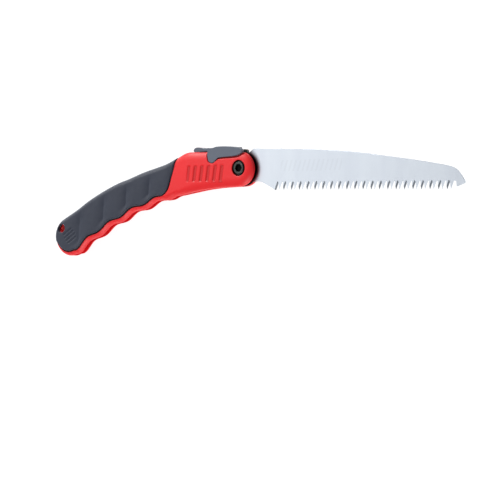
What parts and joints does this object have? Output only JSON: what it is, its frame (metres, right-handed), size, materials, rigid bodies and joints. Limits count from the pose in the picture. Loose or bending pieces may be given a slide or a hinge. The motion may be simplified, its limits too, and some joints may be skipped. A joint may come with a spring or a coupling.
{
  "type": "folding pruning saw",
  "caption": "Folding pruning saw with a curved two-shell handle, rubber grips, a locking lever and a toothed blade locked open.",
  "frame": {"origin": "centre of the outer face of the pivot nut, on the blade pivot axis, in the plane of the left cheek", "axes": "+X from the pivot towards the blade's tip when open, +Y towards the spine of the saw, +Z through the thickness towards the bolt head"},
  "size_m": [0.4087, 0.0899, 0.016],
  "materials": {
    "red_plastic": "satin red moulded nylon",
    "grip_rubber": "matt dark grey",
    "lever_plastic": "matt grey",
    "blade_steel": "ground and polished",
    "bright_steel": "zinc plated",
    "black_steel": "black oxide"
  },
  "bodies": {
    "handle": {"handle_shell_left": "red_plastic", "handle_shell_right": "red_plastic", "grip_left": "grip_rubber", "grip_right": "grip_rubber", "pivot_bolt": "black_steel", "pivot_nut": "black_steel", "lock_washer": "bright_steel", "pivot_sleeve": "bright_steel", "blade_washer_left": "bright_steel", "blade_washer_right": "bright_steel", "lever_pin": "bright_steel", "lever_spring": "bright_steel", "shell_screw_1": "black_steel", "shell_screw_2": "black_steel", "shell_screw_3": "black_steel", "shell_screw_4": "black_steel"},
    "blade": {"blade": "blade_steel"},
    "lock_lever": {"lever_core": "black_steel", "lever_cap": "lever_plastic"}
  },
  "joints": [
    {"name": "blade_fold", "type": "hinge", "parent": "handle", "child": "blade", "pos_m": [0, 0, 0.008], "axis": [0, 0, -1], "range_deg": [0, 158]},
    {"name": "lever_press", "type": "hinge", "parent": "handle", "child": "lock_lever", "pos_m": [-0.0273, 0.0089, 0.008], "axis": [0, 0, 1], "range_deg": [-3, 5], "stiffness_Nm_per_rad": 0.3, "springref_deg": -17.19, "deforming": ["lever_spring"]}
  ]
}
